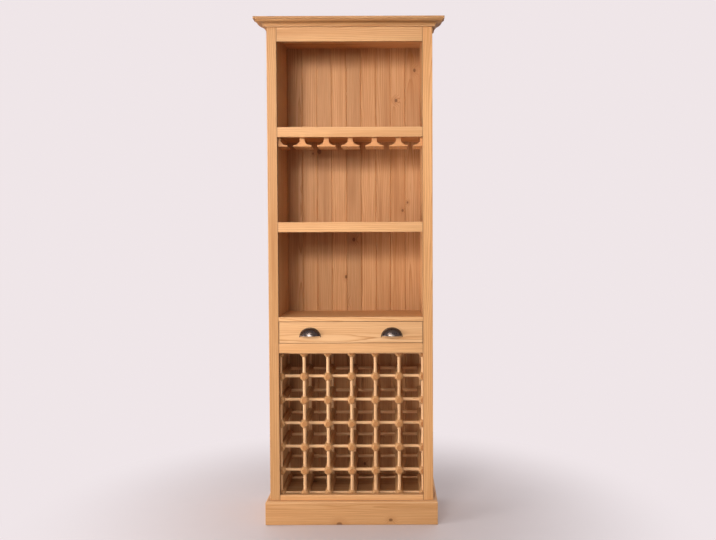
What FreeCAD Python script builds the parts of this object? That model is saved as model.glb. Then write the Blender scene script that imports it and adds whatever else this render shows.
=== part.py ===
import FreeCAD, Part
import operator
import os
import Sketcher

# A tall pine wine cabinet: a face-framed carcass with three open bays, a rack of hanging
# rails, one drawer with cup pulls and a lattice rack, under a crown cornice and on a plinth.
# Millimetres. +X is the viewer's right, the front faces -Y, +Z is up.
# The origin is the middle of the cabinet's box, on the floor.

doc = FreeCAD.newDocument("WineCabinet")
sheet = doc.addObject("Spreadsheet::Sheet", "Sizes")
pieces = []


class Size:
    """A number together with the formula that ties it to the sheet."""

    def __init__(self, number, formula):
        self.number = number
        self.formula = formula

    def __add__(self, other):
        return combine(operator.add, "+", self, other)

    def __radd__(self, other):
        return combine(operator.add, "+", other, self)

    def __sub__(self, other):
        return combine(operator.sub, "-", self, other)

    def __rsub__(self, other):
        return combine(operator.sub, "-", other, self)

    def __mul__(self, other):
        return combine(operator.mul, "*", self, other)

    def __rmul__(self, other):
        return combine(operator.mul, "*", other, self)

    def __truediv__(self, other):
        return combine(operator.truediv, "/", self, other)

    def __neg__(self):
        return combine(operator.mul, "*", -1, self)


def as_size(value):
    """A plain number as a Size."""
    if isinstance(value, Size):
        return value
    return Size(value, str(value))


def combine(function, sign, left, right):
    """Two sizes joined by one arithmetic sign."""
    left = as_size(left)
    right = as_size(right)
    return Size(function(left.number, right.number), f"({left.formula} {sign} {right.formula})")


def size(alias, number):
    """A driving dimension: one row of the sheet."""
    row = len(sheet.getUsedCells()) // 2 + 1
    sheet.set(f"A{row}", alias.replace("_", " "))
    sheet.set(f"B{row}", str(number))
    sheet.setAlias(f"B{row}", alias)
    return Size(number, f"Sizes.{alias}")


# Overall sizes and board stock
cabinet_height = size("cabinet_height", 2050)
carcass_width = size("carcass_width", 668)
carcass_depth = size("carcass_depth", 320)
side_thickness = size("side_thickness", 40)
frame_thickness = size("frame_thickness", 20)
shelf_thickness = size("shelf_thickness", 20)
counter_thickness = size("counter_thickness", 18)
deck_thickness = size("deck_thickness", 18)
floor_thickness = size("floor_thickness", 18)
top_thickness = size("top_thickness", 20)
top_recess = size("top_recess", 16)
dado_depth = size("dado_depth", 8)

# Face frame: heights of the rails and of the bays between them
floor_height = size("floor_height", 110)
bottom_rail_height = size("bottom_rail_height", 78)
bottom_rail_rise = size("bottom_rail_rise", 8)
drawer_rail_height = size("drawer_rail_height", 39)
drawer_rail_rise = size("drawer_rail_rise", 6)
drawer_opening_height = size("drawer_opening_height", 89)
lower_bay_height = size("lower_bay_height", 346)
middle_bay_height = size("middle_bay_height", 344)
top_bay_height = size("top_bay_height", 343)
lip_height = size("lip_height", 40)
top_rail_height = size("top_rail_height", 71)
tenon_length = size("tenon_length", 15)
tenon_thickness = size("tenon_thickness", 8)
tenon_shoulder = size("tenon_shoulder", 6)

# Mouldings round the foot and the head
plinth_height = size("plinth_height", 98)
plinth_projection = size("plinth_projection", 18)
plinth_bevel = size("plinth_bevel", 6)
cornice_height = size("cornice_height", 31)
cornice_projection = size("cornice_projection", 46)
cornice_return = size("cornice_return", 100)
cornice_end_reach = size("cornice_end_reach", 6)
cornice_fascia = size("cornice_fascia", 9)
cornice_quirk = size("cornice_quirk", 6)
cornice_fillet_height = size("cornice_fillet_height", 5)
cornice_fillet_projection = size("cornice_fillet_projection", 10)
cornice_curve_radius = size("cornice_curve_radius", 13)

# Back of tongued and grooved boards
board_count = size("board_count", 9)
board_thickness = size("board_thickness", 12)
board_bottom = size("board_bottom", 20)
board_bevel = size("board_bevel", 3)
rebate_depth = size("rebate_depth", 10)
tongue_length = size("tongue_length", 6)
tongue_thickness = size("tongue_thickness", 4)
tongue_clearance = size("tongue_clearance", 0.4)

# Lattice rack
rack_columns = size("rack_columns", 6)
rack_rows = size("rack_rows", 6)
rack_setback = size("rack_setback", 28)
bar_width = size("bar_width", 33)
rack_back_gap = size("rack_back_gap", 24)
bar_bevel = size("bar_bevel", 7)
rod_diameter = size("rod_diameter", 13)
rod_clearance = size("rod_clearance", 0.1)
upright_inset = size("upright_inset", 14.5)
crossbar_inset = size("crossbar_inset", 29)

# Hanging rails under the upper shelf
hanger_count = size("hanger_count", 7)
hanger_height = size("hanger_height", 55)
hanger_length = size("hanger_length", 100)
hanger_web = size("hanger_web", 20)
hanger_flange = size("hanger_flange", 74)
hanger_edge = size("hanger_edge", 5)
hanger_shoulder = size("hanger_shoulder", 15)
hanger_cove_radius = size("hanger_cove_radius", 30)
hanger_setback = size("hanger_setback", 5)

# Drawer and what carries it
drawer_gap = size("drawer_gap", 2)
drawer_back_gap = size("drawer_back_gap", 28)
drawer_front_thickness = size("drawer_front_thickness", 20)
drawer_side_thickness = size("drawer_side_thickness", 12)
drawer_lap = size("drawer_lap", 8)
drawer_bottom_thickness = size("drawer_bottom_thickness", 5)
drawer_bottom_rise = size("drawer_bottom_rise", 8)
drawer_groove_depth = size("drawer_groove_depth", 6)
runner_width = size("runner_width", 20)
runner_clearance = size("runner_clearance", 0.3)
kicker_height = size("kicker_height", 16)
kicker_clearance = size("kicker_clearance", 2)
stop_length = size("stop_length", 20)
stop_height = size("stop_height", 30)
stop_clearance = size("stop_clearance", 0.5)

# Cup pulls
pull_inset = size("pull_inset", 125.5)
pull_drop = size("pull_drop", 62)
pull_width = size("pull_width", 89)
pull_height = size("pull_height", 40)
pull_depth = size("pull_depth", 25)
pull_wall = size("pull_wall", 2.5)
pull_rim = size("pull_rim", 3.5)
pull_lip_rise = size("pull_lip_rise", 5)
pull_post_diameter = size("pull_post_diameter", 9)
pull_post_spacing = size("pull_post_spacing", 56)
pull_post_rise = size("pull_post_rise", 11)

# Fasteners
screw_diameter = size("screw_diameter", 4)
screw_head_diameter = size("screw_head_diameter", 8)
screw_head_height = size("screw_head_height", 3)
screw_clearance = size("screw_clearance", 0.1)
board_screw_bite = size("board_screw_bite", 20)
hanger_screw_bite = size("hanger_screw_bite", 15)
pull_screw_bite = size("pull_screw_bite", 10)
doc.recompute()

# Places worked out from the driving sizes
outer_x = carcass_width / 2
inner_x = outer_x - side_thickness
inner_width = inner_x * 2
face_y = (cornice_projection - carcass_depth) / 2
frame_back_y = face_y + frame_thickness
back_y = face_y + carcass_depth
board_front_y = back_y - board_thickness
floor_z = as_size(0)

# The bays are measured down from the top, and the lattice rack fills what is left
carcass_top = cabinet_height - top_recess
top_rail_bottom = carcass_top - top_rail_height
upper_shelf_top = top_rail_bottom - top_bay_height
upper_shelf_under = upper_shelf_top - shelf_thickness
upper_lip_bottom = upper_shelf_top - lip_height
middle_shelf_top = upper_lip_bottom - middle_bay_height
middle_lip_bottom = middle_shelf_top - lip_height
counter_top = middle_lip_bottom - lower_bay_height
counter_under = counter_top - counter_thickness
drawer_rail_top = counter_under - drawer_opening_height
drawer_rail_bottom = drawer_rail_top - drawer_rail_height
deck_under = drawer_rail_bottom - drawer_rail_rise
deck_top = deck_under + deck_thickness
bottom_rail_top = floor_height + bottom_rail_rise
rack_height = deck_under - floor_height
row_pitch = rack_height / rack_rows
column_pitch = inner_width / rack_columns


def bind(target, **formulas):
    """Tie properties to the sheet; a double underscore in a name stands for a dot."""
    for name, value in formulas.items():
        target.setExpression(name.replace("__", "."), as_size(value).formula)


def place(target, x, y, z):
    """Tie an object's position to the sheet."""
    bind(target, Placement__Base__x=x, Placement__Base__y=y, Placement__Base__z=z)


def turn(target, axis, degrees):
    """Turn an object before its position is tied."""
    target.Placement = FreeCAD.Placement(FreeCAD.Vector(), FreeCAD.Rotation(axis, degrees))


def piece(target, label):
    """Name a finished piece, which is written to a file of that name."""
    target.Label = label
    pieces.append(target)
    return target


def block(name, x, y, z):
    """A rectangular block between two limits on each axis."""
    box = doc.addObject("Part::Box", name)
    bind(box, Length=x[1] - x[0], Width=y[1] - y[0], Height=z[1] - z[0])
    place(box, x[0], y[0], z[0])
    return box


def join(name, shapes):
    """Several overlapping shapes fused into one solid."""
    fusion = doc.addObject("Part::MultiFuse", name)
    fusion.Shapes = shapes
    fusion.Refine = True
    return fusion


def group(name, shapes):
    """Several separate solids kept together."""
    compound = doc.addObject("Part::Compound", name)
    compound.Links = shapes
    return compound


def cut(name, base, tools):
    """A base with tools taken out of it."""
    result = doc.addObject("Part::Cut", name)
    result.Base = base
    result.Tool = tools[0] if len(tools) == 1 else join(f"{name}_tools", tools)
    return result


def overlap(name, base, tool):
    """What two shapes share."""
    result = doc.addObject("Part::Common", name)
    result.Base = base
    result.Tool = tool
    return result


def origin_part(body, role):
    """A plane or axis of a body's own origin."""
    return next(item for item in body.Origin.OriginFeatures if item.Role == role)


def new_sketch(body, role):
    """An empty sketch on one of the body's origin planes."""
    sketch = body.newObject("Sketcher::SketchObject", "Sketch")
    sketch.AttachmentSupport = [(origin_part(body, role), "")]
    sketch.MapMode = "FlatFace"
    return sketch


def fix(sketch, kind, geometry, point, value):
    """Tie one coordinate of a sketch point to the sheet."""
    index = sketch.addConstraint(Sketcher.Constraint(kind, -1, 1, geometry, point, value.number))
    sketch.setExpression(f"Constraints[{index}]", value.formula)


def arc_between(start, end, radius, sense):
    """An arc from start to end whose centre lies to the left (1) or right (-1) of the way."""
    chord = end - start
    middle = (start + end) * 0.5
    left = FreeCAD.Vector(-chord.y, chord.x, 0).normalize()
    reach = (radius ** 2 - chord.Length ** 2 / 4) ** 0.5
    centre = middle + left * (reach * sense)
    first, last = (start, end) if sense > 0 else (end, start)
    circle = Part.Circle(centre, FreeCAD.Vector(0, 0, 1), radius)
    return Part.ArcOfCircle(circle, circle.parameter(first), circle.parameter(last))


def outline(sketch, corners, bends=None):
    """Close a loop through the corners; bends make the side after a corner an arc."""
    bends = bends or {}
    corners = [(as_size(across), as_size(up)) for across, up in corners]
    points = [FreeCAD.Vector(across.number, up.number, 0) for across, up in corners]
    sides = []
    for index, start in enumerate(points):
        end = points[(index + 1) % len(points)]
        head, tail = 1, 2
        if index in bends:
            radius, sense = bends[index]
            side = sketch.addGeometry(arc_between(start, end, radius.number, sense))
            head, tail = (1, 2) if sense > 0 else (2, 1)
        else:
            side = sketch.addGeometry(Part.LineSegment(start, end))
        sides.append((side, head, tail))
    for index, (side, head, tail) in enumerate(sides):
        following, following_head, _ = sides[(index + 1) % len(sides)]
        sketch.addConstraint(Sketcher.Constraint("Coincident", side, tail, following, following_head))
        fix(sketch, "DistanceX", side, head, corners[index][0])
        fix(sketch, "DistanceY", side, head, corners[index][1])
        if index in bends:
            radius = bends[index][0]
            rounding = sketch.addConstraint(Sketcher.Constraint("Radius", side, radius.number))
            sketch.setExpression(f"Constraints[{rounding}]", radius.formula)


def ring(sketch, across, up, diameter):
    """A circle tied to the sheet."""
    across = as_size(across)
    up = as_size(up)
    centre = FreeCAD.Vector(across.number, up.number, 0)
    circle = sketch.addGeometry(Part.Circle(centre, FreeCAD.Vector(0, 0, 1), diameter.number / 2))
    fix(sketch, "DistanceX", circle, 3, across)
    fix(sketch, "DistanceY", circle, 3, up)
    width = sketch.addConstraint(Sketcher.Constraint("Diameter", circle, diameter.number))
    sketch.setExpression(f"Constraints[{width}]", diameter.formula)


def pad(body, sketch, length, backwards=False):
    """Raise a sketch into a solid."""
    feature = body.newObject("PartDesign::Pad", "Pad")
    feature.Profile = sketch
    feature.Reversed = backwards
    bind(feature, Length=length)
    return feature


def pocket(body, sketch, length, backwards=False, both_ways=False):
    """Cut a sketch out of the solid made so far."""
    feature = body.newObject("PartDesign::Pocket", "Pocket")
    feature.Profile = sketch
    feature.Reversed = backwards
    if both_ways:
        feature.SideType = "Symmetric"
    bind(feature, Length=length)
    return feature


def extrusion(name, role, corners, length, backwards=False, bends=None):
    """A body that is one outline raised to a length."""
    body = doc.addObject("PartDesign::Body", name)
    sketch = new_sketch(body, role)
    outline(sketch, corners, bends)
    pad(body, sketch, length, backwards)
    return body


def repeat(body, across, up):
    """Repeat the whole body along X and Z; each way is a count and how far the last is off."""
    doc.recompute()
    pattern = body.newObject("PartDesign::LinearPattern", "Pattern")
    pattern.TransformMode = "Whole shape"
    pattern.Direction = (origin_part(body, "X_Axis"), [""])
    pattern.Direction2 = (origin_part(body, "Z_Axis"), [""])
    bind(pattern, Occurrences=across[0], Length=across[1], Occurrences2=up[0], Length2=up[1])
    body.Tip = pattern


def screw(name, position, axis, degrees, length, play):
    """A countersunk screw or its hole; its head's top lies at the position."""
    shank = doc.addObject("Part::Cylinder", f"{name}_shank")
    head = doc.addObject("Part::Cone", f"{name}_head")
    bind(shank, Radius=screw_diameter / 2 + play, Height=length)
    bind(head, Radius1=screw_head_diameter / 2 + play, Radius2=screw_diameter / 2 + play)
    bind(head, Height=screw_head_height)
    for solid in (shank, head):
        turn(solid, axis, degrees)
        place(solid, *position)
    return join(name, [shank, head])


X_AXIS = FreeCAD.Vector(1, 0, 0)
UPWARD = (X_AXIS, 0)
TO_FRONT = (X_AXIS, 90)


def screws_and_holes(name, positions, direction, length):
    """Screws at the positions and the holes that they need."""
    screws = []
    holes = []
    for index, position in enumerate(positions, start=1):
        screws.append(screw(f"{name}_{index}", position, *direction, length, as_size(0)))
        holes.append(screw(f"{name}_hole_{index}", position, *direction, length, screw_clearance))
    return screws, holes


# Screws through the back boards into the boards that lie across the carcass
board_pitch = inner_width / board_count
board_total = int(board_count.number)
board_middles = [board_pitch * (index + 0.5) - inner_x for index in range(board_total)]
fixing_levels = {
    "bottom_panel": floor_height - floor_thickness / 2,
    "middle_shelf": middle_shelf_top - shelf_thickness / 2,
    "upper_shelf": upper_shelf_top - shelf_thickness / 2,
    "top_panel": carcass_top - top_thickness / 2,
}
board_screws = []
board_holes = []
for level in fixing_levels.values():
    level_positions = [(middle, back_y, level) for middle in board_middles]
    level_screws, level_holes = screws_and_holes(
        "board_screw", level_positions, TO_FRONT, board_thickness + board_screw_bite)
    board_screws += level_screws
    board_holes.append(level_holes)
piece(group("board_screw_group", board_screws), "back_board_screws")

# Screws up through the hanging rails into the upper shelf
hanger_pitch = inner_width / (hanger_count - 1)
hanger_total = int(hanger_count.number)
hanger_bottom = upper_shelf_under - hanger_height
hanger_front_y = frame_back_y + hanger_setback
hanger_screw_rows = (hanger_front_y + hanger_length / 4, hanger_front_y + hanger_length * 3 / 4)
hanger_screw_shifts = {0: hanger_web / 4, hanger_total - 1: -hanger_web / 4}
hanger_screws = []
hanger_holes = []
for index in range(hanger_total):
    screw_x = hanger_pitch * index - inner_x + hanger_screw_shifts.get(index, 0)
    rail_positions = [(screw_x, row_y, hanger_bottom) for row_y in hanger_screw_rows]
    rail_screws, rail_holes = screws_and_holes(
        f"hanger_screw_{index}", rail_positions, UPWARD, hanger_height + hanger_screw_bite)
    hanger_screws += rail_screws
    hanger_holes.append(rail_holes)
piece(group("hanger_screw_group", hanger_screws), "hanging_rail_screws")


# Boards that lie across the carcass, housed in the sides
def cross_board(name, z):
    """A board between the back of the face frame and the back, let into both sides."""
    reach = inner_x + dado_depth
    return block(name, (-reach, reach), (frame_back_y, board_front_y), z)


bottom_board = cross_board("bottom_board", (floor_height - floor_thickness, floor_height))
deck_board = cross_board("deck_board", (deck_under, deck_top))
counter_board = cross_board("counter_board", (counter_under, counter_top))
middle_board = cross_board("middle_board", (middle_shelf_top - shelf_thickness, middle_shelf_top))
upper_board = cross_board("upper_board", (upper_shelf_under, upper_shelf_top))
top_board = cross_board("top_board", (carcass_top - top_thickness, carcass_top))
cross_boards = [bottom_board, deck_board, counter_board, middle_board, upper_board, top_board]

piece(cut("bottom_drilled", bottom_board, board_holes[0]), "bottom_panel")
piece(deck_board, "drawer_deck")
counter_nose = block(
    "counter_nose", (-inner_x, inner_x), (face_y, frame_back_y), (counter_under, counter_top))
piece(join("counter", [counter_board, counter_nose]), "counter_shelf")
piece(cut("middle_drilled", middle_board, board_holes[1]), "middle_shelf")
upper_holes = [hole for holes in hanger_holes for hole in holes]
piece(cut("upper_drilled", upper_board, board_holes[2] + upper_holes), "upper_shelf")
piece(cut("top_drilled", top_board, board_holes[3]), "top_panel")

# Rails of the face frame, tenoned into the uprights
tenon_front = face_y + (frame_thickness - tenon_thickness) / 2
rail_limits = {
    "bottom_rail": (bottom_rail_top - bottom_rail_height, bottom_rail_top),
    "drawer_rail": (drawer_rail_bottom, drawer_rail_top),
    "middle_shelf_lip": (middle_lip_bottom, middle_shelf_top),
    "upper_shelf_lip": (upper_lip_bottom, upper_shelf_top),
    "top_rail": (top_rail_bottom, carcass_top),
}
tenons = []
for label, (low, high) in rail_limits.items():
    rail = block(f"{label}_board", (-inner_x, inner_x), (face_y, frame_back_y), (low, high))
    tenon = block(
        f"{label}_tenons",
        (-inner_x - tenon_length, inner_x + tenon_length),
        (tenon_front, tenon_front + tenon_thickness),
        (low + tenon_shoulder, high - tenon_shoulder))
    tenons.append(tenon)
    piece(join(f"{label}_tenoned", [rail, tenon]), label)

# Uprights and side panels
back_space = block(
    "back_space",
    (-inner_x - rebate_depth, inner_x + rebate_depth),
    (board_front_y, back_y),
    (floor_z, carcass_top))
for hand, x in (("left", (-outer_x, -inner_x)), ("right", (inner_x, outer_x))):
    upright = block(f"{hand}_upright_board", x, (face_y, frame_back_y), (floor_z, carcass_top))
    piece(cut(f"{hand}_upright_mortised", upright, tenons), f"{hand}_upright")
    side = block(f"{hand}_side_board", x, (frame_back_y, back_y), (floor_z, carcass_top))
    piece(cut(f"{hand}_side_housed", side, cross_boards + [back_space]), f"{hand}_side_panel")

# Back boards, each with a groove on its left edge and a tongue on its right edge
tongue_front = (board_thickness + board_bevel - tongue_thickness) / 2
tongue_back = tongue_front + tongue_thickness
groove_front = tongue_front - tongue_clearance / 2
groove_back = tongue_back + tongue_clearance / 2
groove_depth = tongue_length + tongue_clearance
for index in range(board_total):
    left_edge = [
        (0, board_thickness), (0, groove_back), (groove_depth, groove_back),
        (groove_depth, groove_front), (0, groove_front), (0, board_bevel), (board_bevel, 0)]
    right_edge = [
        (board_pitch - board_bevel, 0), (board_pitch, board_bevel), (board_pitch, tongue_front),
        (board_pitch + tongue_length, tongue_front), (board_pitch + tongue_length, tongue_back),
        (board_pitch, tongue_back), (board_pitch, board_thickness)]
    if index == 0:
        left_edge = [(-rebate_depth, board_thickness), (-rebate_depth, 0)]
    if index == board_total - 1:
        right_edge = [(board_pitch + rebate_depth, 0), (board_pitch + rebate_depth, board_thickness)]
    board = extrusion(
        f"board_{index + 1}", "XY_Plane", left_edge + right_edge, carcass_top - board_bottom)
    place(board, board_pitch * index - inner_x, board_front_y, board_bottom)
    holes = [level_holes[index] for level_holes in board_holes]
    piece(cut(f"board_{index + 1}_drilled", board, holes), f"back_board_{index + 1}")


# Mouldings mitred round the front and both sides
def moulding(label, profile, bends, projection, bottom, side_run, end_reach=None):
    """Front, left and right lengths of one profile; the profile runs outwards and up.

    With an end reach, the sides taper to it behind the face.
    """
    senses = {index: (radius, -sense) for index, (radius, sense) in bends.items()}
    mirrored = [(-out, up) for out, up in profile]
    front_length = carcass_width + projection * 2
    front = extrusion(f"{label}_front_body", "YZ_Plane", mirrored, front_length, bends=senses)
    for corners in (
            [(0, 0), (0, -projection), (projection, 0)],
            [(front_length, 0), (front_length - projection, 0), (front_length, -projection)]):
        mitre = new_sketch(front, "XY_Plane")
        outline(mitre, corners)
        pocket(front, mitre, cabinet_height, backwards=True)
    place(front, -outer_x - projection, face_y, bottom)
    piece(front, f"{label}_front")

    for hand, sign, shape, turns in (("left", -1, mirrored, senses), ("right", 1, profile, bends)):
        side_body = extrusion(
            f"{label}_{hand}_body", "XZ_Plane", shape, side_run + projection,
            backwards=True, bends=turns)
        mitre = new_sketch(side_body, "XY_Plane")
        outline(mitre, [(0, 0), (projection * sign, 0), (0, projection)])
        pocket(side_body, mitre, cabinet_height, backwards=True)
        if end_reach:
            taper = new_sketch(side_body, "XY_Plane")
            outline(taper, [
                (projection * sign, projection), (projection * sign, side_run + projection),
                (end_reach * sign, side_run + projection)])
            pocket(side_body, taper, cabinet_height, backwards=True)
        place(side_body, outer_x * sign, face_y - projection, bottom)
        piece(side_body, f"{label}_{hand}")


plinth_profile = [
    (as_size(0), 0), (plinth_projection, 0), (plinth_projection, plinth_height - plinth_bevel),
    (plinth_projection - plinth_bevel, plinth_height), (as_size(0), plinth_height)]
moulding("plinth", plinth_profile, {}, plinth_projection, floor_z, carcass_depth)

# The cornice has a fillet, a cove that turns into a round, a quirk and a fascia.
# Its sides taper away well short of the back.
curve_top = cornice_height - cornice_fascia
curve_reach = cornice_projection - cornice_quirk
curve_middle = (
    (cornice_fillet_projection + curve_reach) / 2, (cornice_fillet_height + curve_top) / 2)
cornice_profile = [
    (as_size(0), 0), (cornice_fillet_projection, 0),
    (cornice_fillet_projection, cornice_fillet_height), curve_middle, (curve_reach, curve_top),
    (cornice_projection, curve_top), (cornice_projection, cornice_height),
    (as_size(0), cornice_height)]
cornice_bends = {2: (cornice_curve_radius, -1), 3: (cornice_curve_radius, 1)}
cornice_bottom = cabinet_height - cornice_height
moulding(
    "cornice", cornice_profile, cornice_bends, cornice_projection, cornice_bottom, cornice_return,
    cornice_end_reach)

# Hanging rails: an upside-down T with coved shoulders, and half of one at each side
web_half = hanger_web / 2
flange_half = hanger_flange / 2
shoulder_top = hanger_edge + hanger_shoulder
right_half = [
    (flange_half, 0), (flange_half, hanger_edge), (web_half, shoulder_top), (web_half, hanger_height)]
left_half = [(-across, up) for across, up in reversed(right_half)]
cove = (hanger_cove_radius, -1)
for index in range(hanger_total):
    profile = right_half + left_half
    coves = {1: cove, 5: cove}
    if index == 0:
        profile = [(0, 0)] + right_half + [(0, hanger_height)]
        coves = {2: cove}
    if index == hanger_total - 1:
        profile = [(0, hanger_height)] + left_half + [(0, 0)]
        coves = {2: cove}
    rail = extrusion(
        f"hanger_{index + 1}", "XZ_Plane", profile, hanger_length, backwards=True, bends=coves)
    place(rail, hanger_pitch * index - inner_x, hanger_front_y, hanger_bottom)
    piece(cut(f"hanger_{index + 1}_drilled", rail, hanger_holes[index]), f"hanging_rail_{index + 1}")

# Rack: eight-sided bars from front to back, threaded on upright rods and crossbars
rack_front_y = face_y + rack_setback
rack_back_y = board_front_y - rack_back_gap
bar_length = rack_back_y - rack_front_y
rack_space = block(
    "rack_space", (-inner_x, inner_x), (frame_back_y, board_front_y), (floor_height, deck_under))
bar_half = bar_width / 2
EIGHTH_TURN_TANGENT = 2 ** 0.5 - 1
bar_facet = bar_half * EIGHTH_TURN_TANGENT
octagon = [
    (bar_half, -bar_facet), (bar_half, bar_facet), (bar_facet, bar_half), (-bar_facet, bar_half),
    (-bar_half, bar_facet), (-bar_half, -bar_facet), (-bar_facet, -bar_half), (bar_facet, -bar_half)]
rod_hole = rod_diameter + rod_clearance * 2


def bar_group(name, x, z, across, up):
    """Bars with bevelled ends, drilled for the rods, repeated across and up."""
    body = extrusion(name, "XZ_Plane", octagon, bar_length, backwards=True)
    doc.recompute()
    plain_bar = body.Tip
    ends = [
        f"Face{index}" for index, face in enumerate(plain_bar.Shape.Faces, start=1)
        if len(face.Edges) == len(octagon)]
    bevel = body.newObject("PartDesign::Chamfer", "Bevel")
    bevel.Base = (plain_bar, ends)
    bind(bevel, Size=bar_bevel)
    upright_holes = new_sketch(body, "XY_Plane")
    ring(upright_holes, 0, upright_inset, rod_hole)
    ring(upright_holes, 0, bar_length - upright_inset, rod_hole)
    pocket(body, upright_holes, bar_width * 2, both_ways=True)
    crossbar_holes = new_sketch(body, "YZ_Plane")
    ring(crossbar_holes, crossbar_inset, 0, rod_hole)
    ring(crossbar_holes, bar_length - crossbar_inset, 0, rod_hole)
    pocket(body, crossbar_holes, bar_width * 2, both_ways=True)
    repeat(body, across, up)
    place(body, x, rack_front_y, z)
    return body


inner_columns = (rack_columns - 1, column_pitch * (rack_columns - 2))
inner_rows = (rack_rows - 1, row_pitch * (rack_rows - 2))
both_sides = (as_size(2), inner_width)
both_levels = (as_size(2), rack_height)
first_column = column_pitch - inner_x
first_row = floor_height + row_pitch

inner_bars = bar_group("inner_bars", first_column, first_row, inner_columns, inner_rows)
piece(inner_bars, "rack_bars")
side_bars = bar_group("side_bars", -inner_x, first_row, both_sides, inner_rows)
piece(overlap("side_bars_split", side_bars, rack_space), "rack_side_bars")
level_bars = bar_group("level_bars", first_column, floor_height, inner_columns, both_levels)
piece(overlap("level_bars_split", level_bars, rack_space), "rack_top_and_bottom_bars")
corner_bars = bar_group("corner_bars", -inner_x, floor_height, both_sides, both_levels)
piece(overlap("corner_bars_split", corner_bars, rack_space), "rack_corner_bars")


def rod_group(name, role, length, y, across, up):
    """Round rods along Z or X, repeated, with those on the walls split in half."""
    body = doc.addObject("PartDesign::Body", name)
    sketch = new_sketch(body, role)
    ring(sketch, 0, 0, rod_diameter)
    pad(body, sketch, length)
    repeat(body, across, up)
    place(body, -inner_x, y, floor_height)
    return overlap(f"{name}_split", body, rack_space)


one_column = (as_size(1), inner_width)
one_row = (as_size(1), rack_height)
all_columns = (rack_columns + 1, inner_width)
all_rows = (rack_rows + 1, rack_height)
rod_rows = {
    "rack_front": (rack_front_y + upright_inset, rack_front_y + crossbar_inset),
    "rack_rear": (rack_back_y - upright_inset, rack_back_y - crossbar_inset),
}
for label, (upright_y, crossbar_y) in rod_rows.items():
    uprights = rod_group(f"{label}_rods", "XY_Plane", rack_height, upright_y, all_columns, one_row)
    piece(uprights, f"{label}_uprights")
    crossbars = rod_group(f"{label}_bars", "YZ_Plane", inner_width, crossbar_y, one_column, all_rows)
    piece(crossbars, f"{label}_crossbars")

# Drawer box: a lapped front, two grooved sides, a back and a thin bottom
drawer_x = inner_x - drawer_gap
drawer_under = drawer_rail_top + drawer_gap
drawer_front_top = counter_under - drawer_gap
drawer_front_back_y = face_y + drawer_front_thickness
drawer_end_y = board_front_y - drawer_back_gap
kicker_under = counter_under - kicker_height
drawer_side_top = kicker_under - kicker_clearance
drawer_inner_x = drawer_x - drawer_side_thickness
drawer_bottom_under = drawer_under + drawer_bottom_rise
drawer_bottom_top = drawer_bottom_under + drawer_bottom_thickness

drawer_bottom_reach = drawer_inner_x + drawer_groove_depth
drawer_bottom = block(
    "drawer_bottom_board",
    (-drawer_bottom_reach, drawer_bottom_reach),
    (drawer_front_back_y - drawer_groove_depth, drawer_end_y),
    (drawer_bottom_under, drawer_bottom_top))
piece(drawer_bottom, "drawer_bottom")

side_boards = []
for hand, x in (("left", (-drawer_x, -drawer_inner_x)), ("right", (drawer_inner_x, drawer_x))):
    side_board = block(
        f"drawer_{hand}_board", x, (drawer_front_back_y - drawer_lap, drawer_end_y),
        (drawer_under, drawer_side_top))
    side_boards.append(side_board)
    piece(cut(f"drawer_{hand}_grooved", side_board, [drawer_bottom]), f"drawer_{hand}_side")

piece(block(
    "drawer_back_board", (-drawer_inner_x, drawer_inner_x),
    (drawer_end_y - drawer_side_thickness, drawer_end_y),
    (drawer_bottom_top, drawer_side_top)), "drawer_back")

# Screws of the cup pulls, driven from inside the drawer front
pull_base_z = drawer_front_top - pull_drop
pull_x = drawer_x - pull_inset
pull_centres = {"left": -pull_x, "right": pull_x}
pull_post_z = pull_base_z + pull_post_rise
post_places = [
    (centre + pull_post_spacing / 2 * sign, drawer_front_back_y, pull_post_z)
    for centre in pull_centres.values() for sign in (-1, 1)]
pull_screws, pull_holes = screws_and_holes(
    "pull_screw", post_places, TO_FRONT, drawer_front_thickness + pull_screw_bite)
piece(group("pull_screw_group", pull_screws), "cup_pull_screws")

front_board = block(
    "drawer_front_board", (-drawer_x, drawer_x), (face_y, drawer_front_back_y),
    (drawer_under, drawer_front_top))
piece(cut(
    "drawer_front_joined", front_board, side_boards + [drawer_bottom] + pull_holes), "drawer_front")


# Cup pulls: a quarter of a hollow dome on a thin rim whose feet reach lower, and two screw posts
def dome(name, centre, half_width, height, depth):
    """An egg-shaped solid about the middle of a pull's base line."""
    solid = doc.addObject("Part::Ellipsoid", name)
    bind(solid, Radius1=height, Radius2=half_width, Radius3=depth)
    place(solid, centre, face_y, pull_base_z)
    return solid


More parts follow.
